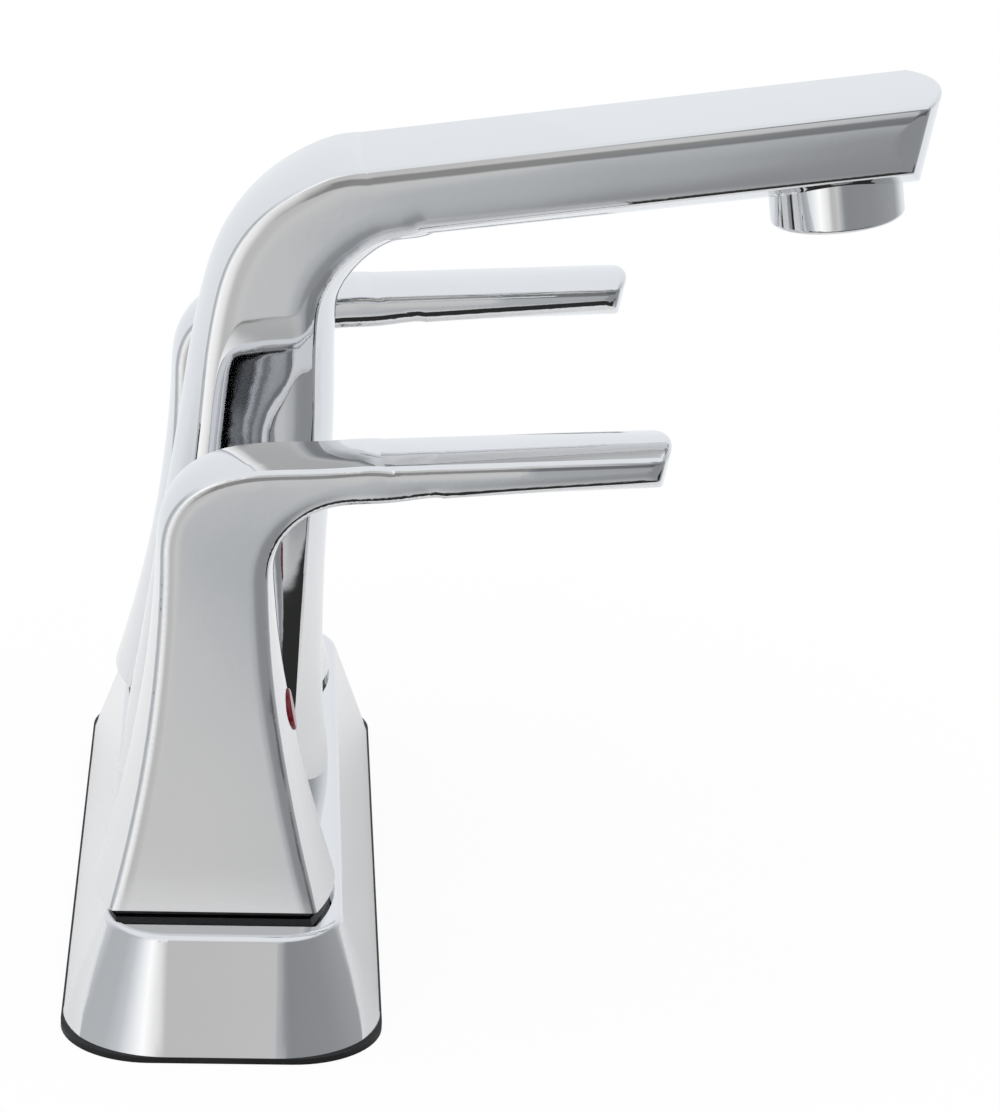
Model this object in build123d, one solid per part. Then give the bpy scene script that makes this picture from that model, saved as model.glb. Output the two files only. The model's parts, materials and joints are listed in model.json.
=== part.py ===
from build123d import *
import math
import os

os.makedirs("parts", exist_ok=True)

# Frame: origin on the deck at the middle of the base, +X to the user's right,
# the spout and levers point to -Y, +Z up. All sizes are in millimetres.

# Layout
valve_spacing = 101.6
valve_x = valve_spacing / 2
deck_thickness = 25.4

# Fits
press_gap = 0.05
thread_gap = 0.1
slip_gap = 0.2
turn_gap = 0.4
disc_gap = 0.05
lift_gap = 0.3

spare_length = 4.0

# Gasket
gasket_overhang = 30.5
gasket_length = valve_spacing + 2 * gasket_overhang
gasket_corner = 15.0
gasket_thickness = 1.0
gasket_hole_gap = 0.8

# Base plate
plate_setback = 0.2
plate_corner = 17.5
plate_height = 18.4
plate_draft = 20.5
plate_wall = 2.4
plate_edge = 1.5
plate_top = gasket_thickness + plate_height
plate_under = plate_top - plate_wall

# Valve body
shank_radius = 10.4
shank_length = 48.0
inlet_radius = 6.2
barrel_radius = 12.4
neck_radius = 10.6
neck_height = 7.2
valve_bore = 8.2
seat_floor = 1.4
neck_top = plate_top + neck_height
seat_level = gasket_thickness + seat_floor

# Cartridge
seal_thickness = 2.2
seal_inner = 5.0
cartridge_radius = valve_bore - slip_gap
cartridge_bottom = seat_level + seal_thickness
disc_radius = 6.3
disc_room = 0.2
fixed_disc_thickness = 3.0
moving_disc_thickness = 2.2
disc_port = 1.9
disc_port_offset = 3.5
disc_lip = 0.8
driver_radius = 5.6
driver_thickness = 2.2
window_height = 2.8
window_width = 6.0
flange_radius = 9.4
flange_thickness = 2.0
collar_radius = 6.4
collar_height = 6.6
ring_section = 0.66
ring_squeeze = 0.04
ring_height = 15.4
flange_top = neck_top + flange_thickness
collar_top = flange_top + collar_height

# Stem
stem_radius = 3.2
stem_gap = 0.1
stem_ring_section = 0.42
stem_ring_drop = 3.0
spline_radius = 4.0
spline_rise = 0.5
spline_length = 19.5
spline_bottom = collar_top + spline_rise
spline_top = spline_bottom + spline_length

# Nuts on the neck
clamp_nut_radius = 12.4
clamp_nut_thickness = 2.8
nut_slot = 3.0
nut_slot_depth = 1.0
nut_room = 0.5
bonnet_skirt = neck_height - clamp_nut_thickness - nut_room
bonnet_lip = 2.0

# Handle: side outline of its flat faces, then how far front and back bow out
handle_lift = 1.2
handle_bottom = plate_top + handle_lift
foot_back = 18.6
foot_front = 15.2
foot_half = 16.2
waist_back = 11.1
waist_front = 6.2
back_flare = 2.0
front_flare = 1.6
handle_bow = 42.0
lever_top_rise = 73.2
back_waist_drop = 15.7
front_waist_drop = 20.2
back_waist_rise = lever_top_rise - back_waist_drop
front_waist_rise = lever_top_rise - front_waist_drop
lever_half = 7.9
lever_slope = 3.1
lever_under_slope = 5.6
lever_root_thickness = 6.9
lever_reach = 71.4
lever_end_bow = 22.0
end_rake = 10.3
lever_bow = 1.1
lever_under_bow = 2.0
tip_under_bow = 3.2
outer_bend_run = 20.1
inner_bend_run = 14.8
outer_bend_weight = 1.35
inner_bend_weight = 1.2
handle_edge = 0.9
narrowing_ease = 0.12
handle_stations = (0, 0.12, 0.3, 0.55, 0.8, 1)
lever_bend_stations = (0.33, 0.67, 1)
lever_stations = (0.12, 0.24)
handle_cavity = clamp_nut_radius + turn_gap
handle_cavity_room = 1.2
collar_room = 1.2
socket_room = 0.5

# Glide ring under the handle
glide_setback = 0.5
glide_taper = 0.5
glide_wall = 1.0
glide_collar = 2.6

# Index button and set screw
button_radius = 3.5
button_thickness = 1.9
button_proud = 0.35
button_drop = 4.9
button_height = spline_top - button_drop
screw_radius = 2.4
screw_length = 4.2
hex_flat = 2.5
hex_depth = 1.6

# Cross tubes and tee
tube_radius = 4.75
tube_wall = 0.8
tube_level = 9.0
boss_radius = 6.2
boss_reach = 17.0
socket_depth = 5.0
tee_half = 15.0
tee_boss = 7.4
nipple_radius = 6.0
nipple_bore = 3.6
nipple_height = 13.0
nipple_rings = (5.0, 9.5)

# Spout: side outline of its flat faces, then how far front and back bow out
spout_half = 14.0
spout_foot_half = 14.5
spout_foot_back = 12.65
spout_foot_front = 11.4
back_lean = 5.6
neck_front = 13.6
neck_rise = 86.4
spout_top_rise = 110.4
spout_slope = 8.1
arm_thickness = 11.4
foot_back_bow = 7.0
foot_front_bow = 6.4
neck_back_bow = 2.4
neck_front_bow = 3.6
foot_fade = 0.45
neck_taper_end = 0.78
spout_outer_run = 25.2
spout_inner_run = 17.4
under_bow = 4.4
arm_bow = 0.3
spout_reach = 119.4
spout_end_bow = 30.0
spout_bend_weight = 0.9
spout_inner_weight = 0.7
spout_edge = 0.6
spout_stations = (0, 0.1, 0.25, 0.5, neck_taper_end, 1)
spout_bend_stations = (0.25, 0.5, 0.75, 1)
waterway_radius = 2.9
waterway_bend = 12.6
foot_screw_offset = 12.0
foot_screw_radius = 2.4
foot_screw_head = 4.0
foot_screw_head_height = 3.0
foot_screw_grip = 11.0

# Width of the base: the screw heads stand clear of the plate's sloping walls
plate_side_room = 8.0
gasket_width = 2 * (foot_screw_offset + foot_screw_head + plate_side_room + plate_wall + plate_setback)

# Aerator
aerator_setback = 17.0
aerator_reach = spout_reach - aerator_setback
aerator_radius = 11.6
aerator_drop = 5.4
aerator_seat = 4.0
thread_radius = 10.2
thread_height = 4.0
chamber_radius = 7.5
chamber_top = 13.6
aerator_bore = 8.8
aerator_lip = 0.8
aerator_washer_thickness = 1.4
screen_thickness = 0.5
insert_height = 8.0
insert_rim = 1.2
insert_hub = 2.0
insert_vane = 0.9
washer_seat = aerator_seat + thread_height + aerator_washer_thickness
screen_hole = 0.7
screen_pitch = 2.8
screen_row_count = 2

# Mounting hardware below the deck
washer_radius = 19.0
washer_thickness = 2.0
nut_radius = 15.5
nut_height = 9.0
wing_length = 8.0
wing_width = 5.0


def tube(outer, inner, bottom, top):
    """A plain ring on the Z axis."""
    height = top - bottom
    body = Pos(0, 0, bottom) * Cylinder(outer, height, align=(Align.CENTER, Align.CENTER, Align.MIN))
    if inner > 0:
        body -= Pos(0, 0, bottom) * Cylinder(inner, height, align=(Align.CENTER, Align.CENTER, Align.MIN))
    return body


def rod(radius, bottom, top):
    return tube(radius, 0, bottom, top)


def conic(start, corner, end, weight, t):
    """A point of the conic that leaves start and reaches end along the lines to corner."""
    a = (1 - t) ** 2
    b = 2 * weight * t * (1 - t)
    c = t ** 2
    total = a + b + c
    y = (a * start[0] + b * corner[0] + c * end[0]) / total
    z = (a * start[1] + b * corner[1] + c * end[1]) / total
    return (y, z)


def section(outer, inner, half, outer_bow, inner_bow):
    """A four-sided section: flat sides at x = +-half, bowed ends at outer and inner."""
    span = math.dist(outer, inner)
    dy = (outer[0] - inner[0]) / span
    dz = (outer[1] - inner[1]) / span
    a = Vector(-half, outer[0], outer[1])
    b = Vector(half, outer[0], outer[1])
    c = Vector(half, inner[0], inner[1])
    d = Vector(-half, inner[0], inner[1])
    outer_pole = Vector(0, outer[0] + 2 * outer_bow * dy, outer[1] + 2 * outer_bow * dz)
    inner_pole = Vector(0, inner[0] - 2 * inner_bow * dy, inner[1] - 2 * inner_bow * dz)
    return Wire([Bezier(a, outer_pole, b), Line(b, c), Bezier(c, inner_pole, d), Line(d, a)])


def bow_of(radius, half):
    return radius - math.sqrt(radius ** 2 - half ** 2)


def mix(a, b, t):
    return a + (b - a) * t


def mirrored(side, shape):
    """Hot parts are modelled on the left; the cold ones are their mirror image."""
    placed = Pos(-valve_x, 0, 0) * shape
    return placed if side == "hot" else placed.mirror(Plane.YZ)


def handle_top(y):
    """Height of the lever's flat top over a point y of its side outline."""
    return handle_bottom + lever_top_rise - y * math.tan(math.radians(lever_slope))


def handle_under(y):
    rise = lever_top_rise - lever_root_thickness
    return handle_bottom + rise - y * math.tan(math.radians(lever_under_slope))


def handle_half(z):
    """Seen from the front the casting narrows evenly, then eases into the lever's width."""
    left = 1 - (z - handle_bottom) / (lever_top_rise - lever_root_thickness)
    return mix(lever_half, foot_half, (left + math.hypot(left, narrowing_ease)) / 2)


def handle_section(outer, inner, bend, reach):
    """bend goes from 0 on the body to 1 on the lever, and reach from 0 at its root to 1 at its tip."""
    half = handle_half((outer[1] + inner[1]) / 2)
    bow = bow_of(handle_bow, half)
    under_bow = mix(lever_under_bow, tip_under_bow, reach)
    return section(outer, inner, half, mix(bow, lever_bow, bend), mix(bow, under_bow, bend))


def lever_section(outer_root, inner_root, reach):
    """A section of the straight lever, from its roots on top and below to past its tip."""
    lever_end = -lever_reach - spare_length
    outer_y = mix(outer_root, lever_end, reach)
    inner_y = mix(inner_root, lever_end, reach)
    return handle_section((outer_y, handle_top(outer_y)), (inner_y, handle_under(inner_y)), 1, reach)


def handle_casting():
    """Lofted from the foot, up the flared body, round the bend and out along the lever."""
    back_waist = (waist_back, handle_bottom + back_waist_rise)
    front_waist = (-waist_front, handle_bottom + front_waist_rise)
    sections = []
    for t in handle_stations:
        back = waist_back + (foot_back - waist_back) * (1 - t) ** back_flare
        front = waist_front + (foot_front - waist_front) * (1 - t) ** front_flare
        outer = (back, mix(handle_bottom, back_waist[1], t))
        inner = (-front, mix(handle_bottom, front_waist[1], t))
        sections.append(handle_section(outer, inner, 0, 0))
    outer_end = waist_back - outer_bend_run
    inner_end = -waist_front - inner_bend_run
    outer_corner = (waist_back, handle_top(waist_back))
    inner_corner = (-waist_front, handle_under(-waist_front))
    for t in lever_bend_stations:
        outer = conic(back_waist, outer_corner, (outer_end, handle_top(outer_end)), outer_bend_weight, t)
        inner = conic(front_waist, inner_corner, (inner_end, handle_under(inner_end)), inner_bend_weight, t)
        sections.append(handle_section(outer, inner, t, 0))
    for t in lever_stations:
        sections.append(lever_section(outer_end, inner_end, t))
    tip = lever_section(outer_end, inner_end, 1)
    return Solid.make_loft(sections) + Solid.make_loft([sections[-1], tip], ruled=True)


def end_waste(half, reach, top, rake, bow):
    """What is cut away beyond a bowed end that is undercut by the rake angle."""
    lean = math.radians(rake)
    place = Plane(origin=(0, -reach, top), x_dir=(1, 0, 0), z_dir=(0, -math.sin(lean), math.cos(lean)))
    back = 0.8 * half
    block = Pos(0, back - 2 * half, 0) * Box(4 * half, 4 * half, 6 * half)
    rounding = Pos(0, bow, 0) * Cylinder(bow, 6 * half)
    return place * (block - rounding)


def spout_back(z):
    return spout_foot_back - (z - plate_top) * math.tan(math.radians(back_lean))


def spout_top(y):
    return plate_top + spout_top_rise - y * math.tan(math.radians(spout_slope))


def spout_under(y):
    return spout_top(y) - arm_thickness


def spout_casting():
    """Lofted from the foot up the leaning neck, round the bend and out along the arm."""
    neck_top_z = plate_top + neck_rise
    sections = []
    for t in spout_stations:
        z = mix(plate_top, neck_top_z, t)
        fade = max(1 - t / foot_fade, 0) ** 2
        front = mix(spout_foot_front, neck_front, min(t / neck_taper_end, 1))
        half = mix(spout_half, spout_foot_half, fade)
        front_bow = mix(neck_front_bow, foot_front_bow, fade)
        back_bow = mix(foot_back_bow, neck_back_bow, t)
        sections.append(section((spout_back(z), z), (-front, z), half, back_bow, front_bow))
    back_start = (spout_back(neck_top_z), neck_top_z)
    front_start = (-neck_front, neck_top_z)
    lean = math.tan(math.radians(back_lean))
    rise = math.tan(math.radians(spout_slope))
    corner_y = (spout_back(spout_top(0))) / (1 - lean * rise)
    outer_corner = (corner_y, spout_top(corner_y))
    inner_corner = (-neck_front, spout_under(-neck_front))
    outer_end = back_start[0] - spout_outer_run
    inner_end = -neck_front - spout_inner_run
    for t in spout_bend_stations:
        outer = conic(back_start, outer_corner, (outer_end, spout_top(outer_end)), spout_bend_weight, t)
        inner = conic(front_start, inner_corner, (inner_end, spout_under(inner_end)), spout_inner_weight, t)
        top_bow = mix(neck_back_bow, arm_bow, t)
        bottom_bow = mix(neck_front_bow, under_bow, t)
        sections.append(section(outer, inner, spout_half, top_bow, bottom_bow))
    arm_end = -spout_reach - spare_length
    end_top = (arm_end, spout_top(arm_end))
    end_under = (arm_end, spout_under(arm_end))
    tip = section(end_top, end_under, spout_half, arm_bow, under_bow)
    return Solid.make_loft(sections) + Solid.make_loft([sections[-1], tip], ruled=True)


def softened(casting, half, reach, radius):
    """Rounds the long edges and the bowed end, but leaves the foot's edge crisp."""
    foot = casting.bounding_box().min.Z
    soft = []
    for edge in casting.edges():
        middle = edge.center()
        runs_along = abs(middle.X) > half / 2
        at_end = middle.Y < half / 2 - reach
        if middle.Z > foot + radius and (runs_along or at_end):
            soft.append(edge)
    return fillet(soft, radius)


def make_gasket():
    body = extrude(RectangleRounded(gasket_length, gasket_width, gasket_corner), gasket_thickness)
    hole = rod(shank_radius + gasket_hole_gap, 0, gasket_thickness)
    return body - Pos(-valve_x, 0, 0) * hole - Pos(valve_x, 0, 0) * hole


def plate_block(setback, corner, bottom, top):
    length = gasket_length - 2 * setback
    width = gasket_width - 2 * setback
    outline = RectangleRounded(length, width, corner)
    return Pos(0, 0, bottom) * extrude(outline, top - bottom, taper=plate_draft)


def make_plate():
    """A cast cover with sloping sides, open below, bored for the necks and the outlet."""
    outer = plate_block(plate_setback, plate_corner, gasket_thickness, plate_top)
    outer = fillet(outer.edges().filter_by_position(Axis.Z, plate_top, plate_top), plate_edge)
    inset = plate_setback + plate_wall
    body = outer - plate_block(inset, plate_corner - plate_wall, gasket_thickness, plate_under)
    neck_hole = rod(neck_radius + slip_gap, plate_under, plate_top)
    body -= Pos(-valve_x, 0, 0) * neck_hole + Pos(valve_x, 0, 0) * neck_hole
    body -= rod(nipple_radius + slip_gap, plate_under, plate_top)
    screw_hole = rod(foot_screw_radius + slip_gap, plate_under, plate_top)
    return body - Pos(0, foot_screw_offset, 0) * screw_hole - Pos(0, -foot_screw_offset, 0) * screw_hole


def arm_under(reach):
    """Height of the spout's lowest line at a given reach."""
    return spout_under(-reach) - under_bow / math.cos(math.radians(spout_slope))


def outlet_plane():
    """Origin where the aerator's axis leaves the arm, +Z back up into the arm."""
    lean = math.radians(spout_slope)
    origin = (0, -aerator_reach, arm_under(aerator_reach))
    return Plane(origin=origin, x_dir=(1, 0, 0), z_dir=(0, math.sin(lean), math.cos(lean)))


def spout_waterway():
    """A bore up the neck, round the bend and along the arm to the outlet chamber."""
    outlet = outlet_plane()
    level = (washer_seat + chamber_top) / 2
    end = outlet.from_local_coords(Vector(0, 0, level))
    lean = math.radians(spout_slope)
    start = Vector(0, 0, plate_top + nipple_height)
    corner_y = -(neck_front + neck_back_bow) / 2
    run = (corner_y - end.Y) / math.cos(lean)
    corner = end + Vector(0, math.cos(lean), -math.sin(lean)) * run
    path = FilletPolyline(start, corner, end, radius=waterway_bend)
    profile = Plane(origin=path @ 0, z_dir=path % 0) * Circle(waterway_radius)
    return sweep(profile, path=path)


def make_spout():
    body = spout_casting()
    body -= end_waste(spout_half, spout_reach, spout_top(-spout_reach), end_rake, spout_end_bow)
    body = softened(body, spout_half, spout_reach, spout_edge)
    body -= rod(nipple_radius + slip_gap, plate_top, plate_top + nipple_height + lift_gap)
    body -= spout_waterway()
    outlet = outlet_plane()
    body -= outlet * rod(aerator_radius + slip_gap, -2 * aerator_seat, aerator_seat)
    body -= outlet * rod(thread_radius + thread_gap, 0, washer_seat)
    body -= outlet * rod(chamber_radius, 0, chamber_top)
    pilot = rod(foot_screw_radius + press_gap, plate_top, plate_top + foot_screw_grip + lift_gap)
    for offset in (foot_screw_offset, -foot_screw_offset):
        body -= Pos(0, offset, 0) * pilot
    return body


def ring(section_radius, middle_radius, height):
    return Pos(0, 0, height) * Torus(middle_radius, section_radius)


def make_spout_rings():
    """The rings ride in grooves in the nipple and seal against the spout's bore."""
    rings = []
    for rise in nipple_rings:
        middle = nipple_radius + slip_gap - ring_section - ring_squeeze
        rings.append(ring(ring_section, middle, plate_top + rise))
    return Compound(children=rings)


def ring_groove(bore, section_radius, height):
    """The groove that a ring in a bore sits in, cut from the inner part."""
    floor = bore - 2 * section_radius - 2 * ring_squeeze
    half = section_radius + ring_squeeze
    return tube(bore, floor, height - half, height + half)


def hex_socket():
    return extrude(RegularPolygon(hex_flat / 2, 6, major_radius=False), hex_depth)


def make_foot_screws():
    """They stand head down below the plate and reach up into the spout's foot."""
    screw = rod(foot_screw_radius, 0, plate_wall + foot_screw_grip)
    screw += rod(foot_screw_head, -foot_screw_head_height, 0)
    screw -= Pos(0, 0, -foot_screw_head_height) * hex_socket()
    placed = [Pos(0, offset, plate_under) * screw for offset in (foot_screw_offset, -foot_screw_offset)]
    return Compound(children=placed)


def make_tee():
    """A cross bar with two sockets, and a boss and nipple that rise into the spout."""
    bar = Pos(0, 0, tube_level) * Rot(0, 90, 0) * Cylinder(boss_radius, 2 * tee_half)
    body = bar + rod(tee_boss, tube_level, plate_under)
    body += rod(nipple_radius, plate_under, plate_top + nipple_height)
    body -= rod(nipple_bore, tube_level, plate_top + nipple_height)
    body -= Pos(0, 0, tube_level) * Rot(0, 90, 0) * Cylinder(tube_radius - tube_wall, 2 * tee_half)
    socket = Cylinder(tube_radius + press_gap, 2 * socket_depth)
    for end in (-tee_half, tee_half):
        body -= Pos(end, 0, tube_level) * Rot(0, 90, 0) * socket
    for rise in nipple_rings:
        body -= ring_groove(nipple_radius + slip_gap, ring_section, plate_top + rise)
    return body


def make_cross_tube():
    """In the valve's own place: from its side boss to the tee's socket."""
    start = boss_reach - socket_depth
    end = valve_x - tee_half + socket_depth
    body = Cylinder(tube_radius, end - start) - Cylinder(tube_radius - tube_wall, end - start)
    return Pos((start + end) / 2, 0, tube_level) * Rot(0, 90, 0) * body


def make_valve_body():
    """Turned brass: threaded shank, barrel on the deck, neck through the plate, side boss."""
    body = rod(shank_radius, -shank_length, gasket_thickness)
    body += rod(barrel_radius, gasket_thickness, plate_under)
    body += rod(neck_radius, plate_under, neck_top)
    boss = Pos(0, 0, tube_level) * Rot(0, 90, 0)
    body += boss * rod(boss_radius, 0, boss_reach)
    body -= rod(inlet_radius, -shank_length, seat_level)
    body -= rod(valve_bore, seat_level, neck_top)
    body -= boss * rod(tube_radius - tube_wall, 0, boss_reach)
    body -= boss * rod(tube_radius + press_gap, boss_reach - socket_depth, boss_reach)
    return body


def make_cartridge():
    """Holds the discs in its lower barrel and guides the stem in its collar."""
    disc_top = cartridge_bottom + disc_lip + fixed_disc_thickness + disc_gap + moving_disc_thickness
    room_top = disc_top + driver_thickness + disc_room
    body = rod(cartridge_radius, cartridge_bottom, neck_top) + rod(flange_radius, neck_top, flange_top)
    body += rod(collar_radius, flange_top, collar_top)
    body -= rod(seal_inner, cartridge_bottom, cartridge_bottom + disc_lip)
    body -= rod(disc_radius + disc_room, cartridge_bottom + disc_lip, room_top)
    body -= rod(stem_radius + stem_gap, room_top, collar_top)
    window = Box(4 * cartridge_radius, window_width, window_height)
    body -= Pos(0, 0, room_top - window_height / 2) * window
    return body - ring_groove(valve_bore, ring_section, ring_height)


def make_cartridge_ring():
    return ring(ring_section, valve_bore - ring_section - ring_squeeze, ring_height)


def disc(thickness, bottom, angle):
    """A ceramic disc with two ports on a line at the given angle."""
    body = rod(disc_radius, bottom, bottom + thickness)
    for turn in (angle, angle + 180):
        port = Pos(disc_port_offset, 0, 0) * rod(disc_port, bottom, bottom + thickness)
        body -= Rot(0, 0, turn) * port
    return body


def make_fixed_disc():
    return disc(fixed_disc_thickness, cartridge_bottom + disc_lip, 0)


def moving_disc_bottom():
    return cartridge_bottom + disc_lip + fixed_disc_thickness + disc_gap


def make_moving_disc():
    return disc(moving_disc_thickness, moving_disc_bottom(), 90)


def make_seat_seal():
    return tube(cartridge_radius, seal_inner, seat_level, cartridge_bottom)


def make_stem():
    """Driver at the bottom, a grooved shaft, and the broached end that takes the handle."""
    driver_bottom = moving_disc_bottom() + moving_disc_thickness
    driver_top = driver_bottom + driver_thickness
    body = rod(driver_radius, driver_bottom, driver_top) + rod(stem_radius, driver_top, spline_bottom)
    body += rod(spline_radius, spline_bottom, spline_top)
    body -= ring_groove(stem_radius + stem_gap, stem_ring_section, collar_top - stem_ring_drop)
    return body


def make_stem_ring():
    middle = stem_radius + stem_gap - stem_ring_section - ring_squeeze
    return ring(stem_ring_section, middle, collar_top - stem_ring_drop)


def make_clamp_nut():
    """A slotted ring nut that holds the plate down on the valve body's shoulder."""
    body = tube(clamp_nut_radius, neck_radius + thread_gap, plate_top, plate_top + clamp_nut_thickness)
    slot = Box(nut_slot, 3 * clamp_nut_radius, nut_slot_depth)
    cut = Pos(0, 0, plate_top + clamp_nut_thickness - nut_slot_depth / 2) * slot
    return body - cut - Rot(0, 0, 90) * cut


def make_bonnet_nut():
    """Screws onto the neck and presses the cartridge flange down on it."""
    top = flange_top + bonnet_lip
    body = rod(clamp_nut_radius, neck_top - bonnet_skirt, top)
    body -= rod(neck_radius + thread_gap, neck_top - bonnet_skirt, flange_top)
    body -= rod(collar_radius + slip_gap, flange_top, top)
    slot = Box(nut_slot, 3 * clamp_nut_radius, nut_slot_depth)
    cut = Pos(0, 0, top - nut_slot_depth / 2) * slot
    return body - cut - Rot(0, 0, 90) * cut


def front_of_handle(z):
    """Middle of the handle's front face at a height on its body."""
    t = (z - handle_bottom) / front_waist_rise
    side = waist_front + (foot_front - waist_front) * (1 - t) ** front_flare
    return -side - bow_of(handle_bow, handle_half(z))


def button_plane():
    """On the front face at the button's middle, +Z out of the face."""
    upper = front_of_handle(button_height + button_radius)
    lower = front_of_handle(button_height - button_radius)
    normal = Vector(0, -2 * button_radius, upper - lower).normalized()
    origin = (0, front_of_handle(button_height), button_height)
    return Plane(origin=origin, x_dir=(1, 0, 0), z_dir=normal)


def screw_seat():
    """How far behind the front face the set screw meets the stem."""
    return -front_of_handle(button_height) - spline_radius


def make_handle():
    """One casting: hollow foot over the valve, a socket for the stem, lever forward."""
    body = handle_casting()
    body -= end_waste(lever_half, lever_reach, handle_top(-lever_reach), end_rake, lever_end_bow)
    body = softened(body, lever_half, lever_reach, handle_edge)
    cavity_top = flange_top + bonnet_lip + handle_cavity_room
    body -= rod(handle_cavity, handle_bottom, cavity_top)
    glide_seat = handle_cavity + glide_wall + press_gap
    body -= rod(glide_seat, handle_bottom, handle_bottom + glide_collar + lift_gap)
    body -= rod(collar_radius + collar_room, cavity_top, collar_top + collar_room)
    body -= rod(spline_radius + press_gap, collar_top + collar_room, spline_top + socket_room)
    face = button_plane()
    body -= face * rod(button_radius + press_gap, -(button_thickness - button_proud), 4 * button_proud)
    body -= face * rod(screw_radius + press_gap, -screw_seat(), 0)
    return body


def make_button():
    face = button_plane()
    button = face * rod(button_radius, -(button_thickness - button_proud), button_proud)
    rim = button.edges().filter_by(GeomType.CIRCLE).sort_by(Axis.Y)[0]
    return fillet(rim, button_proud)


def make_set_screw():
    seat = screw_seat() - lift_gap
    screw = rod(screw_radius, -seat, screw_length - seat)
    return button_plane() * (screw - Pos(0, 0, screw_length - seat - hex_depth) * hex_socket())


def foot_section(setback, z):
    """The handle's footprint drawn in by a setback, at a given height."""
    half = foot_half - setback
    bow = bow_of(handle_bow, half)
    return section((foot_back - setback, z), (setback - foot_front, z), half, bow, bow)


def make_glide():
    """Dark ring pressed into the handle's foot; its skirt fills the gap above the plate."""
    lower = foot_section(glide_setback + glide_taper, plate_top + lift_gap)
    upper = foot_section(glide_setback, handle_bottom)
    skirt = Solid.make_loft([lower, upper], ruled=True)
    skirt += rod(handle_cavity + glide_wall, handle_bottom, handle_bottom + glide_collar)
    return skirt - rod(handle_cavity, plate_top, handle_bottom + glide_collar)


def make_aerator_housing():
    """A threaded collar with a wider visible ring and an inner lip that holds the insert."""
    body = rod(aerator_radius, -aerator_drop, aerator_seat)
    body += rod(thread_radius, aerator_seat, aerator_seat + thread_height)
    body -= rod(aerator_bore, -aerator_drop + aerator_lip, aerator_seat + thread_height)
    body -= rod(aerator_bore - aerator_lip, -aerator_drop, -aerator_drop + aerator_lip)
    rim = body.edges().filter_by(GeomType.CIRCLE).filter_by_position(Axis.Z, -aerator_drop, -aerator_drop)
    return outlet_plane() * fillet(rim.sort_by(SortBy.RADIUS)[-1], aerator_lip)


def make_aerator_screen():
    """A thin perforated disc on the housing's lip."""
    bottom = -aerator_drop + aerator_lip
    body = rod(aerator_bore - press_gap, bottom, bottom + screen_thickness)
    hole = rod(screen_hole, bottom, bottom + screen_thickness)
    body -= hole
    for row in range(1, screen_row_count + 1):
        for index in range(6 * row):
            body -= Rot(0, 0, 60 * index / row) * Pos(row * screen_pitch, 0, 0) * hole
    return outlet_plane() * body


def make_aerator_insert():
    """The plastic flow straightener: a rim, a hub and six vanes."""
    bottom = -aerator_drop + aerator_lip + screen_thickness
    body = tube(aerator_bore - press_gap, aerator_bore - insert_rim, bottom, bottom + insert_height)
    body += rod(insert_hub, bottom, bottom + insert_height)
    span = 2 * aerator_bore - insert_rim
    vane = Pos(0, 0, bottom + insert_height / 2) * Box(span, insert_vane, insert_height)
    for turn in (0, 60, 120):
        body += Rot(0, 0, turn) * vane
    return outlet_plane() * body


def make_aerator_washer():
    bottom = aerator_seat + thread_height
    washer = tube(thread_radius - press_gap, chamber_radius, bottom, bottom + aerator_washer_thickness)
    return outlet_plane() * washer


def make_mount_washer():
    return tube(washer_radius, shank_radius + slip_gap, -deck_thickness - washer_thickness, -deck_thickness)


def make_mount_nut():
    """A winged nut below the deck washer."""
    top = -deck_thickness - washer_thickness
    body = rod(nut_radius, top - nut_height, top)
    wing = Box(2 * (nut_radius + wing_length), wing_width, nut_height)
    body += Pos(0, 0, top - nut_height / 2) * wing
    return body - rod(shank_radius + thread_gap, top - nut_height, top)


fixed_parts = {
    "deck_gasket": make_gasket(),
    "base_plate": make_plate(),
    "outlet_tee": make_tee(),
    "spout_body": make_spout(),
    "spout_o_rings": make_spout_rings(),
    "spout_fixing_screws": make_foot_screws(),
    "aerator_housing": make_aerator_housing(),
    "aerator_screen": make_aerator_screen(),
    "aerator_insert": make_aerator_insert(),
    "aerator_washer": make_aerator_washer(),
}

valve_parts = {
    "valve_body": make_valve_body(),
    "cross_tube": make_cross_tube(),
    "clamp_nut": make_clamp_nut(),
    "cartridge_body": make_cartridge(),
    "cartridge_o_ring": make_cartridge_ring(),
    "seat_seal": make_seat_seal(),
    "fixed_disc": make_fixed_disc(),
    "bonnet_nut": make_bonnet_nut(),
    "mounting_washer": make_mount_washer(),
    "mounting_nut": make_mount_nut(),
    "moving_disc": make_moving_disc(),
    "stem": make_stem(),
    "stem_o_ring": make_stem_ring(),
    "handle": make_handle(),
    "handle_glide": make_glide(),
    "handle_set_screw": make_set_screw(),
    "index_button": make_button(),
}

for name, shape in fixed_parts.items():
    export_step(shape, f"parts/{name}.step")

for side in ("hot", "cold"):
    for name, shape in valve_parts.items():
        export_step(mirrored(side, shape), f"parts/{side}_{name}.step")
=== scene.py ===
import bmesh
import bpy
import json
import math
from mathutils import Matrix, Vector
from mathutils.kdtree import KDTree


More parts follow.
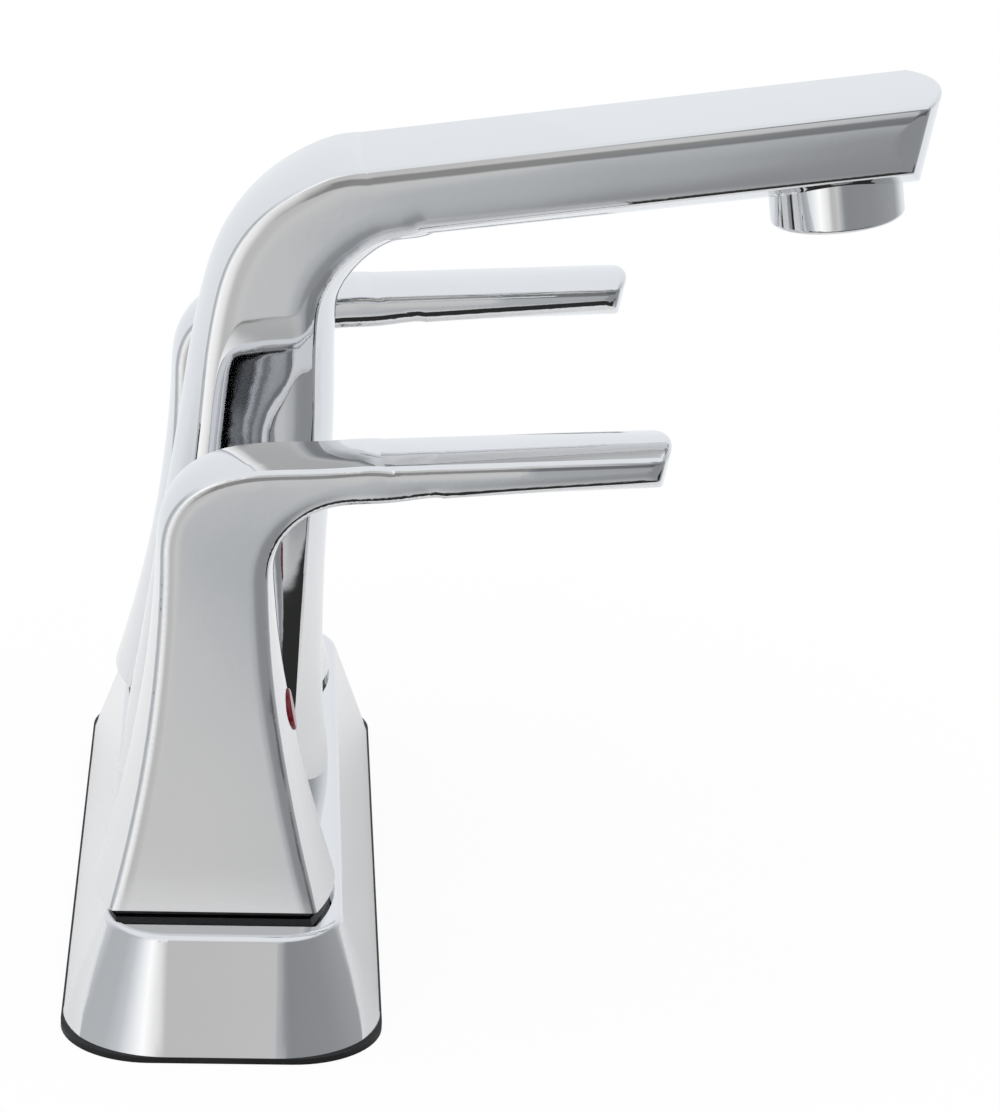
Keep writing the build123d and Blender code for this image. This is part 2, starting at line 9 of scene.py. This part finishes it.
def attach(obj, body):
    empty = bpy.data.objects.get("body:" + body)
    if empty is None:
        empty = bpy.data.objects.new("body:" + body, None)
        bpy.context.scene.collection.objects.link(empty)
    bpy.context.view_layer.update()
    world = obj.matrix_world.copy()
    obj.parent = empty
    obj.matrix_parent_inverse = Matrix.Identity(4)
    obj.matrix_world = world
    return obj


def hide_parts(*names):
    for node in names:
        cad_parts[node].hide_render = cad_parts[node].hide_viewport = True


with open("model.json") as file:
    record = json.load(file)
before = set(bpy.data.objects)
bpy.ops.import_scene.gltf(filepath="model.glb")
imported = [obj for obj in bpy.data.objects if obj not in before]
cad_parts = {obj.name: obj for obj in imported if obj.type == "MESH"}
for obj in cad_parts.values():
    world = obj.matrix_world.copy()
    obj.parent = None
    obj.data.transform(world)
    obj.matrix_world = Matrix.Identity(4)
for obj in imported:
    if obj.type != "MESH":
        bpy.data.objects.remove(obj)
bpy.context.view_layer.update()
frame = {"nodes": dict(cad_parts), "record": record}
nodes = frame["nodes"]
print("frame loaded:", len(nodes), "nodes")


# Shader maths: a wire is a socket, and + - * / on wires add the Math nodes.
class Wire:
    def __init__(self, graph, socket):
        self.graph = graph
        self.socket = socket

    def calc(self, operation, *terms):
        return self.graph.node("Math", {"operation": operation}, dict(enumerate(terms)))

    def __add__(self, other):
        return self.calc("ADD", self, other)

    __radd__ = __add__

    def __mul__(self, other):
        return self.calc("MULTIPLY", self, other)

    __rmul__ = __mul__

    def __sub__(self, other):
        return self.calc("SUBTRACT", self, other)

    def __rsub__(self, other):
        return self.calc("SUBTRACT", other, self)

    def __truediv__(self, other):
        return self.calc("DIVIDE", self, other)


class Graph:
    def __init__(self, tree):
        self.tree = tree
        tree.nodes.clear()

    def plug(self, target, value):
        if isinstance(value, Wire):
            self.tree.links.new(value.socket, target)
        elif target.type == "RGBA" and isinstance(value, tuple):
            target.default_value = (*value, 1)
        elif target.type == "RGBA":
            target.default_value = (value, value, value, 1)
        else:
            target.default_value = value

    # one node by its type, with the output that is wanted or a tuple of them
    def node(self, kind, settings=None, inputs=None, output=0):
        made = self.tree.nodes.new("ShaderNode" + kind)
        for key, value in (settings or {}).items():
            if key == "stops":
                self.fillRamp(made.color_ramp, value)
            else:
                setattr(made, key, value)
        for key, value in (inputs or {}).items():
            self.plug(made.inputs[key], value)
        if isinstance(output, tuple):
            return [Wire(self, made.outputs[key]) for key in output]
        return Wire(self, made.outputs[output]) if made.outputs else None

    def fillRamp(self, ramp, stops):
        ramp.interpolation = "LINEAR"
        while len(ramp.elements) < len(stops):
            ramp.elements.new(0.5)
        for element, (place, tone) in zip(ramp.elements, stops):
            element.position = place
            element.color = (tone, tone, tone, 1)

    def ramp(self, value, stops):
        return self.node("ValToRGB", {"stops": stops}, {0: value})

    def smooth(self, value, low, high):
        settings = {"interpolation_type": "SMOOTHSTEP"}
        return self.node("MapRange", settings, {0: value, 1: low, 2: high, 3: 0.0, 4: 1.0})

    # 1 between the two middle edges, and 0 outside the outer ones
    def band(self, value, edges):
        low, lowFull, highFull, high = edges
        return self.smooth(value, low, lowFull) * (1.0 - self.smooth(value, highFull, high))

    def mixColour(self, amount, first, second, blend="MIX"):
        settings = {"data_type": "RGBA", "blend_type": blend}
        return self.node("Mix", settings, {0: amount, 6: first, 7: second}, output=2)

    def mixShader(self, amount, first, second):
        return self.node("MixShader", None, {0: amount, 1: first, 2: second})

    def light(self, kind, strength, colour=1.0):
        return self.node(kind, None, {"Color": colour, "Strength": strength})

    def rays(self, *kinds):
        return self.node("LightPath", output=tuple("Is " + kind + " Ray" for kind in kinds))

    def place(self):
        return self.node("TexCoord", output="Object")

    def axes(self, vector):
        return self.node("SeparateXYZ", None, {0: vector}, output=("X", "Y", "Z"))

    def noise(self, scale, detail, vector=None):
        inputs = {"Vector": vector or self.place(), "Scale": scale, "Detail": detail}
        return self.node("TexNoise", None, inputs)

    def stretched(self, sizes, detail):
        vector = self.node("Mapping", None, {"Vector": self.place(), "Scale": sizes})
        return self.noise(1.0, detail, vector)

    def bump(self, height, distance, normal=None):
        inputs = {"Height": height, "Distance": distance}
        if normal:
            inputs["Normal"] = normal
        return self.node("Bump", None, inputs)


def newMaterial(name):
    material = bpy.data.materials.new(name)
    material.use_nodes = True
    return material, Graph(material.node_tree)


def finishMaterial(graph, **sockets):
    named = {key.replace("_", " "): value for key, value in sockets.items()}
    shader = graph.node("BsdfPrincipled", None, named)
    graph.node("OutputMaterial", None, {"Surface": shader})


# Finishes. A noise is given by its scale and detail, and a stretched one by a scale for each axis.
# Between its two edges one tone gives way to the other, and depths are in metres.
chrome = {
    "tone": (0.79, 0.797, 0.81),
    "shade": 0.965,                        # the clouded tone as a share of the clear one
    "haze": 0.03,
    "hazeChange": 0.04,
    "hazeMiddle": 0.35,
    "cloudShare": 0.6,
    "cloud": (34.0, 3.0),
    "fine": (900.0, 2.0),
    "wipes": ((40.0, 40.0, 900.0), 4.0),
    "swell": (26.0, 1.0),
    "swellDepth": 0.00018,
    "streaks": ((28.0, 28.0, 110.0), 2.0),
    "streakDepth": 0.00003,
    "skin": (420.0, 2.0),
    "skinDepth": 0.000003,
}


def chromePlate(name):
    material, g = newMaterial(name)
    cloud = g.noise(*chrome["cloud"])
    fine = g.noise(*chrome["fine"])
    wipes = g.stretched(*chrome["wipes"])
    share = chrome["cloudShare"]
    clouding = cloud * share + wipes * (1 - share) - chrome["hazeMiddle"]
    haze = chrome["haze"] + chrome["hazeChange"] * clouding
    clouded = tuple(part * chrome["shade"] for part in chrome["tone"])
    tone = g.mixColour(fine * (1 - share) + cloud * share, chrome["tone"], clouded)
    swell = g.bump(g.noise(*chrome["swell"]), chrome["swellDepth"])
    streaks = g.bump(g.stretched(*chrome["streaks"]), chrome["streakDepth"], swell)
    skin = g.bump(g.noise(*chrome["skin"]), chrome["skinDepth"], streaks)
    finishMaterial(g, Base_Color=tone, Metallic=1.0, Roughness=haze, Normal=skin)
    return material


# lathe marks: fine rings along the part's axis, with stains between them
latheMarks = {
    "rings": ((60.0, 60.0, 3600.0), 3.0),
    "ringDepth": 0.00004,
    "ringHaze": 0.16,
    "stain": (120.0, 4.0),
    "stainEdges": (0.42, 0.72),
    "stainHaze": 0.12,
}
metals = {
    "turnedBrass": {"tone": (0.74, 0.55, 0.27), "stained": (0.5, 0.34, 0.15), "haze": 0.26},
    "drawnCopper": {"tone": (0.83, 0.47, 0.32), "stained": (0.52, 0.27, 0.17), "haze": 0.3},
    "plainSteel": {"tone": (0.62, 0.62, 0.61), "stained": (0.45, 0.45, 0.44), "haze": 0.3},
    "meshSteel": {"tone": (0.66, 0.66, 0.66), "stained": (0.5, 0.5, 0.5), "haze": 0.24},
}


def turnedMetal(name):
    metal = metals[name]
    material, g = newMaterial(name)
    rings = g.stretched(*latheMarks["rings"])
    stain = g.noise(*latheMarks["stain"])
    tone = g.mixColour(g.smooth(stain, *latheMarks["stainEdges"]), metal["tone"], metal["stained"])
    haze = metal["haze"] + latheMarks["ringHaze"] * (rings - 0.5)
    haze = haze + latheMarks["stainHaze"] * (stain - 0.5)
    marks = g.bump(rings, latheMarks["ringDepth"])
    finishMaterial(g, Base_Color=tone, Metallic=1.0, Roughness=haze, Normal=marks)
    return material


rubber = {
    "tone": (0.005, 0.005, 0.006),
    "bloomed": (0.014, 0.014, 0.015),
    "bloom": (90.0, 4.0),
    "bloomEdges": (0.45, 0.75),
    "haze": 0.5,
    "hazeChange": 0.2,
    "grain": (2600.0, 3.0),
    "grainDepth": 0.00003,
    "shine": 0.22,
}


def plateRubber(name):
    material, g = newMaterial(name)
    grain = g.noise(*rubber["grain"])
    bloom = g.noise(*rubber["bloom"])
    tone = g.mixColour(g.smooth(bloom, *rubber["bloomEdges"]), rubber["tone"], rubber["bloomed"])
    haze = rubber["haze"] + rubber["hazeChange"] * (bloom - 0.5)
    grained = g.bump(grain, rubber["grainDepth"])
    finishMaterial(g, Base_Color=tone, Roughness=haze, Specular_IOR_Level=rubber["shine"], Normal=grained)
    return material


moulding = {
    "grain": (1800.0, 2.0),
    "flow": (70.0, 3.0),
    "flowEdges": (0.35, 0.7),
    "hazeChange": 0.14,
}
plastics = {
    "blackPlastic": {
        "tone": (0.016, 0.016, 0.018), "shade": (0.026, 0.026, 0.028), "haze": 0.38, "depth": 0.00002,
    },
    "whitePlastic": {
        "tone": (0.8, 0.81, 0.81), "shade": (0.72, 0.73, 0.73), "haze": 0.3, "depth": 0.00001,
    },
    "redIndex": {
        "tone": (0.24, 0.008, 0.022), "shade": (0.17, 0.005, 0.016), "haze": 0.2, "depth": 0.000003,
    },
    "blueIndex": {
        "tone": (0.012, 0.07, 0.42), "shade": (0.01, 0.05, 0.3), "haze": 0.2, "depth": 0.000003,
    },
}


def mouldedPlastic(name):
    plastic = plastics[name]
    material, g = newMaterial(name)
    grain = g.noise(*moulding["grain"])
    flow = g.noise(*moulding["flow"])
    tone = g.mixColour(g.smooth(flow, *moulding["flowEdges"]), plastic["tone"], plastic["shade"])
    haze = plastic["haze"] + moulding["hazeChange"] * (flow - 0.5)
    finishMaterial(g, Base_Color=tone, Roughness=haze, Normal=g.bump(grain, plastic["depth"]))
    return material


lapped = {
    "tone": (0.86, 0.85, 0.82),
    "specked": (0.66, 0.65, 0.62),
    "speck": (4200.0, 1.0),
    "speckEdges": (0.6, 0.72),
    "speckDepth": 0.000004,
    "cloud": (260.0, 3.0),
    "haze": 0.16,
    "hazeChange": 0.1,
}


def lappedCeramic(name):
    material, g = newMaterial(name)
    speck = g.noise(*lapped["speck"])
    cloud = g.noise(*lapped["cloud"])
    tone = g.mixColour(g.smooth(speck, *lapped["speckEdges"]), lapped["tone"], lapped["specked"])
    haze = lapped["haze"] + lapped["hazeChange"] * cloud
    finishMaterial(g, Base_Color=tone, Roughness=haze, Normal=g.bump(speck, lapped["speckDepth"]))
    return material


finishes = {
    "polished_chrome": chromePlate("polishedChrome"),
    "raw_brass": turnedMetal("turnedBrass"),
    "copper_tube": turnedMetal("drawnCopper"),
    "steel_fasteners": turnedMetal("plainSteel"),
    "steel_mesh": turnedMetal("meshSteel"),
    "black_rubber": plateRubber("blackRubber"),
    "black_plastic": mouldedPlastic("blackPlastic"),
    "white_plastic": mouldedPlastic("whitePlastic"),
    "ceramic": lappedCeramic("lappedCeramic"),
    "index_red": mouldedPlastic("redIndex"),
    "index_blue": mouldedPlastic("blueIndex"),
}


def dressNodes():
    for subpart in frame["record"]["subparts"]:
        for materialSlot in nodes[subpart["node"]].material_slots:
            materialSlot.material = finishes[subpart["material_slot"]]


dressNodes()
print("materials on", len(nodes), "nodes")

# Polished castings: towards its long edges each flat side rolls over a little, as buffing leaves it.
# width is how far in the roll starts, tilt is how far it has turned at the edge, in degrees,
# facing is how squarely a face looks along X to count as the side, and fine is the mesh there.
# Lengths are in metres.
polished = {
    "spout_body": {"body": "base", "width": 0.0052, "tilt": 14, "facing": 0.9955, "fine": 0.0011},
    "hot_handle": {"body": "hot_lever", "width": 0.0026, "tilt": 12, "facing": 0.9885, "fine": 0.0008},
    "cold_handle": {"body": "cold_lever", "width": 0.0026, "tilt": 12, "facing": 0.9885, "fine": 0.0008},
}
rollPlan = {
    "merge": 0.000001,
    "leastSide": 0.00004,    # area, in square metres, under which a patch joins what lies round it
    "leastTurn": 0.01,       # under this change of normal an edge has no roll
    "crispFoot": 0.0012,     # height of the foot that keeps its sharp edge
    "sample": 0.0004,
    "even": 0.0015,          # reach over which the way off the side is evened out
    "coarse": 0.008,         # the mesh away from the edges
    "passes": 10,
    "run": 0.0025,           # how far past the edge the roll fades out
}


def openCasting(source):
    # the CAD mesh in the shared frame with its corner normals kept in a layer, merged
    shape = bmesh.new()
    shape.from_mesh(source.data)
    kept = shape.loops.layers.float_vector.new("kept")
    corners = source.data.corner_normals
    index = 0
    for face in shape.faces:
        for loop in face.loops:
            loop[kept] = corners[index].vector
            index += 1
    shape.transform(source.matrix_world)
    bmesh.ops.remove_doubles(shape, verts=shape.verts, dist=rollPlan["merge"])
    return shape, kept


def patches(shape, mark):
    # groups of touching faces with the same mark
    found = []
    left = set(shape.faces)
    while left:
        patch = [left.pop()]
        for face in patch:
            for edge in face.edges:
                touching = [
                    other for other in edge.link_faces if other in left and other[mark] == face[mark]
                ]
                left.difference_update(touching)
                patch.extend(touching)
        found.append(patch)
    return found


def markSides(shape, kept, facing):
    side = shape.faces.layers.int.new("side")
    for face in shape.faces:
        face[side] = int(all(abs(loop[kept].normalized().x) > facing for loop in face.loops))
    for patch in patches(shape, side):
        if sum(face.calc_area() for face in patch) < rollPlan["leastSide"]:
            for face in patch:
                face[side] = 1 - face[side]
    return side


def wayOff(face, kept):
    # across the border the normals turn towards the way that leads off the side
    outer = min((loop[kept] for loop in face.loops), key=lambda normal: abs(normal.x))
    inner = max((loop[kept] for loop in face.loops), key=lambda normal: abs(normal.x))
    turn = outer.normalized() - inner.normalized()
    return Vector((0, turn.y, turn.z))


def edgeLines(shape, side, kept):
    # points along the border of the sides, each with the way that leads off the side there
    foot = min(vertex.co.z for vertex in shape.verts) + rollPlan["crispFoot"]
    spots = []
    for edge in shape.edges:
        beyond = [face for face in edge.link_faces if not face[side]]
        if len(edge.link_faces) != 2 or len(beyond) != 1:
            continue
        first, last = (vertex.co for vertex in edge.verts)
        if max(first.z, last.z) < foot:
            continue
        away = wayOff(beyond[0], kept)
        if away.length < rollPlan["leastTurn"]:
            continue
        length = (last - first).length
        count = 1 + int(length / rollPlan["sample"])
        share = away.normalized() * length / count
        spots += [(first.lerp(last, step / count), share) for step in range(count + 1)]
    tree = KDTree(len(spots))
    for index, (place, share) in enumerate(spots):
        tree.insert(place, index)
    tree.balance()
    ways = []
    for place, share in spots:
        near = tree.find_range(place, rollPlan["even"])
        ways.append(sum((spots[found[1]][1] for found in near), Vector()).normalized())
    return tree, ways


def refineSides(shape, side, tree, plan):
    for attempt in range(rollPlan["passes"]):
        long = []
        for edge in shape.edges:
            if not any(face[side] for face in edge.link_faces):
                continue
            length = edge.calc_length()
            middle = (edge.verts[0].co + edge.verts[1].co) / 2
            near = tree.find(middle)[2] - length / 2 < plan["width"]
            if length > (plan["fine"] if near else rollPlan["coarse"]):
                long.append(edge)
        if not long:
            break
        bmesh.ops.subdivide_edges(shape, edges=long, cuts=1)
        bmesh.ops.triangulate(shape, faces=[face for face in shape.faces if len(face.verts) > 3])


def rolledNormals(shape, kept, side, tree, ways, plan):
    # a side's normals start square to it and turn towards the nearest edge's way
    steep = math.tan(math.radians(plan["tilt"]))
    shape.normal_update()
    normals = []
    for face in shape.faces:
        square = math.copysign(1, face.loops[0][kept].x)
        for loop in face.loops:
            normal = loop[kept].normalized()
            if face[side] and normal.x * square < plan["facing"]:
                normal = Vector((square, 0, 0))
            place, index, distance = tree.find(loop.vert.co)
            if face[side]:
                weight = max(0, 1 - distance / plan["width"]) ** 2
            else:
                weight = abs(normal.x) * max(0, 1 - distance / rollPlan["run"])
            normals.append((normal + ways[index] * steep * weight).normalized())
    return normals


def addPiece(name, node, shape, normals, body, slot):
    mesh = bpy.data.meshes.new(name)
    shape.to_mesh(mesh)
    shape.free()
    mesh.normals_split_custom_set(normals)
    mesh.materials.append(finishes[slot])
    piece = bpy.data.objects.new(name, mesh)
    bpy.context.scene.collection.objects.link(piece)
    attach(piece, body)
    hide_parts(node)
    print(name, len(mesh.polygons), "faces")


def polishCasting(name, plan):
    shape, kept = openCasting(nodes[name])
    side = markSides(shape, kept, plan["facing"])
    tree, ways = edgeLines(shape, side, kept)
    refineSides(shape, side, tree, plan)
    normals = rolledNormals(shape, kept, side, tree, ways, plan)
    addPiece(name + "_polished", name, shape, normals, plan["body"], "polished_chrome")


for name, plan in polished.items():
    polishCasting(name, plan)

# Shank threads, in metres: the CAD shank is plain at the crest's radius
thread = {
    "crest": 0.0104,
    "crestDrop": 0.00002,    # keeps the ridge inside the CAD shank
    "root": 0.0095,
    "sunk": 0.00006,         # how deep the ridge starts in the slimmed shank
    "pitch": 0.00181,
    "land": 0.00012,         # half the flat on the crest
    "foot": 0.0008,          # half the ridge's width at its root
    "bottom": -0.047,
    "top": -0.0012,
    "slimTop": 0.00242,      # the shank is slimmed up to here, inside the base
    "steps": 36,
}


def slimShank(shape, middle):
    # draws the plain shank in from the crest's radius to the root's
    for vertex in shape.verts:
        out = Vector((vertex.co.x - middle, vertex.co.y, 0))
        onShank = abs(out.length - thread["crest"]) < thread["sunk"]
        if onShank and vertex.co.z < thread["slimTop"]:
            vertex.co -= out * (1 - thread["root"] / thread["crest"])


def cutThread(shape, middle):
    # one ridge wound up the shank, its profile spun about the axis
    inner = thread["root"] - thread["sunk"]
    crest = thread["crest"] - thread["crestDrop"]
    foot, land, pitch = (thread[key] for key in ("foot", "land", "pitch"))
    profile = ((inner, -foot), (crest, -land), (crest, land), (inner, foot))
    start = thread["bottom"] + foot
    corners = [shape.verts.new((middle + radius, 0, start + rise)) for radius, rise in profile]
    edges = [shape.edges.new((corners[index - 1], corners[index])) for index in range(len(corners))]
    turns = (thread["top"] - thread["bottom"] - 2 * foot) / pitch
    steps = round(turns * thread["steps"])
    bmesh.ops.spin(
        shape, geom=corners + edges, cent=(middle, 0, 0), axis=(0, 0, 1),
        dvec=(0, 0, pitch / thread["steps"]), angle=steps / thread["steps"] * math.tau,
        steps=steps, use_merge=False,
    )
    openEnds = [edge for edge in shape.edges if len(edge.link_faces) == 1]
    bmesh.ops.holes_fill(shape, edges=openEnds, sides=len(profile))
    bmesh.ops.recalc_face_normals(shape, faces=shape.faces)


def threadNormals(shape, kept, middle):
    # a corner of the ridge has no kept normal, so it takes its face's, turned to its own angle
    shape.normal_update()
    normals = []
    for face in shape.faces:
        centre = face.calc_center_median()
        angle = math.atan2(centre.y, centre.x - middle)
        for loop in face.loops:
            normal = loop[kept].copy()
            if normal.length < 0.5:
                turn = math.atan2(loop.vert.co.y, loop.vert.co.x - middle) - angle
                normal = Matrix.Rotation(turn, 3, "Z") @ face.normal
            normals.append(normal.normalized())
    return normals


def threadShank(name):
    shape, kept = openCasting(nodes[name])
    shankEnd = [vertex.co.x for vertex in shape.verts if vertex.co.z < thread["bottom"]]
    middle = (min(shankEnd) + max(shankEnd)) / 2
    slimShank(shape, middle)
    cutThread(shape, middle)
    normals = threadNormals(shape, kept, middle)
    addPiece(name + "_threaded", name, shape, normals, "base", "raw_brass")


for name in ("hot_valve_body", "cold_valve_body"):
    threadShank(name)

# Camera, in metres and degrees: yaw from +X, pitch below the horizon, roll about the view
view = {
    "place": (-0.7281, -0.0044, 0.3141),
    "yaw": 3.36,
    "pitch": 19.2,
    "roll": 2.21,
    "lens": 141.8,           # in millimetres
    "nearest": 0.05,
}


def makeCamera():
    yaw, pitch, roll = (math.radians(view[key]) for key in ("yaw", "pitch", "roll"))
    ahead = Vector((math.cos(yaw), -math.sin(yaw), 0))
    forward = ahead * math.cos(pitch) - Vector((0, 0, math.sin(pitch)))
    level = Vector((-math.sin(yaw), -math.cos(yaw), 0))
    steep = level.cross(forward)
    right = math.cos(roll) * level + math.sin(roll) * steep
    up = right.cross(forward)
    turn = Matrix((right, up, -forward)).transposed()
    camera = bpy.data.objects.new("camera", bpy.data.cameras.new("camera"))
    camera.data.lens = view["lens"]
    camera.data.clip_start = view["nearest"]
    camera.matrix_world = Matrix.Translation(view["place"]) @ turn.to_4x4()
    bpy.context.scene.collection.objects.link(camera)
    bpy.context.scene.camera = camera


makeCamera()

# Studio: what the bright metal sees round it. Places round it are in degrees from the camera's
# side towards the left of the picture, and skirting's own edges are heights as sines.
studio = {
    "ambient": 0.86,
    "tint": (0.955, 0.98, 1.01),
    "warmTint": (1.008, 1.0, 0.985),
    "warmRound": (-5.04, -0.72, 18, 57.6),
    "brightest": 1.3,
    "lean": 9,                                 # how far the walls have turned at the top of the room
    "round": (
        (-180, 0.97), (-140, 0.9), (-112, 0.42), (-60, 0.33), (-16, 0.31), (-10.5, 0.34),
        (-7.5, 0.48), (-4.3, 0.56), (-2.7, 0.65), (0, 0.68), (3.5, 0.61), (9, 0.6), (15, 0.95),
        (29, 1.27), (40, 1.06), (56, 0.7), (72, 0.57), (104, 0.56), (140, 0.9), (180, 0.95),
    ),
    "skirting": (-0.08, -0.03, 0.08, 0.14),
    "skirtingDepth": 0.55,
    "skirtingRound": (-80, -50, 4, 10),
    "paperEdges": (30, 58),                    # degrees above the horizon
    "paper": 0.97,
}


def roundAt(degrees):
    return degrees / 360 + 0.5


def makeWorld():
    world = bpy.data.worlds.new("studio")
    bpy.context.scene.world = world
    world.use_nodes = True
    g = Graph(world.node_tree)
    x, y, z = g.axes(g.node("TexCoord", output="Generated"))
    turn = y.calc("ARCTAN2", y, 0.0 - x) / math.tau + 0.5
    turn = turn + studio["lean"] / 360 * z
    stops = [(roundAt(degrees), tone / studio["brightest"]) for degrees, tone in studio["round"]]
    walls = studio["brightest"] * g.ramp(turn, stops)
    line = g.band(z, studio["skirting"]) * g.band(turn, map(roundAt, studio["skirtingRound"]))
    walls = walls * (1.0 - studio["skirtingDepth"] * line)
    above = g.smooth(z, *(math.sin(math.radians(edge)) for edge in studio["paperEdges"]))
    tone = walls * (1.0 - above) + studio["paper"] * above
    warmth = g.band(turn, map(roundAt, studio["warmRound"])) * (1.0 - above)
    tinted = g.mixColour(1.0, tone, g.mixColour(warmth, studio["tint"], studio["warmTint"]), "MULTIPLY")
    isCamera, isGlossy, isThrough = g.rays("Camera", "Glossy", "Transmission")
    plain = isCamera + isThrough
    seen = plain.calc("MINIMUM", plain + isGlossy, 1.0)
    room = g.light("Background", 1.0, g.mixColour(plain, tinted, 1.0))
    soft = g.light("Background", studio["ambient"])
    g.node("OutputWorld", None, {"Surface": g.mixShader(seen, soft, room)})


lampAim = (0, 0, 0.08)
lamps = {
    "overhead": {"place": (0.1, 0.25, 1.3), "size": (1.1, 1.1), "watts": 4.0},
    "window": {"place": (-1.05, 0.42, 0.5), "size": (0.8, 0.9), "watts": 3.0},
}


def makeLamps():
    for name, lamp in lamps.items():
        data = bpy.data.lights.new(name, "AREA")
        data.shape = "RECTANGLE"
        data.size, data.size_y = lamp["size"]
        data.energy = lamp["watts"]
        made = bpy.data.objects.new(name, data)
        made.location = lamp["place"]
        aim = Vector(lampAim) - Vector(lamp["place"])
        made.rotation_mode = "QUATERNION"
        made.rotation_quaternion = aim.to_track_quat("-Z", "Y")
        made.visible_glossy = False
        bpy.context.scene.collection.objects.link(made)


# Floor: white to the camera, and pale to the metal, except for a dark strip on the camera's side
# that only the metal sees, a painted reflection that draws the thin black lines under spout and levers
floorPlan = {
    "radius": 0.36,
    "sides": 96,
    "fadeEdges": (0.1, 0.26),
    "tone": (0.86, 0.86, 0.865),
    "whiten": 0.93,
    # the dark strip across X that only the metal sees: a painted reflection
    "paintedReflectionStrip": (-0.184, -0.172, -0.1, -0.088),
    "paintedReflectionTone": 0.03,
}


def paleFloor(name):
    material, g = newMaterial(name)
    x = g.axes(g.place())[0]
    distance = g.node("VectorMath", {"operation": "LENGTH"}, {0: g.place()}, output="Value")
    fade = g.smooth(distance, *floorPlan["fadeEdges"])
    whiteness = floorPlan["whiten"] + (1.0 - floorPlan["whiten"]) * fade
    matt = g.node("BsdfDiffuse", None, {"Color": floorPlan["tone"]})
    forCamera = g.mixShader(whiteness, matt, g.light("Emission", 1.0))
    faded = g.mixShader(fade, matt, g.node("BsdfTransparent"))
    # painted reflection: a dark glow that only reflections see, drawing black lines on the chrome
    paintedReflectionStrip = g.light("Emission", floorPlan["paintedReflectionTone"])
    forMetal = g.mixShader(g.band(x, floorPlan["paintedReflectionStrip"]), faded, paintedReflectionStrip)
    isCamera, isThrough = g.rays("Camera", "Transmission")
    g.node("OutputMaterial", None, {"Surface": g.mixShader(isCamera + isThrough, forMetal, forCamera)})
    return material


def makeFloor():
    mesh = bpy.data.meshes.new("floor")
    shape = bmesh.new()
    bmesh.ops.create_circle(shape, cap_ends=True, segments=floorPlan["sides"], radius=floorPlan["radius"])
    shape.to_mesh(mesh)
    shape.free()
    mesh.materials.append(paleFloor("paleFloor"))
    floor = bpy.data.objects.new("floor", mesh)
    bpy.context.scene.collection.objects.link(floor)


makeWorld()
makeLamps()
makeFloor()
bpy.context.scene.view_settings.view_transform = "Standard"
print("studio ready")
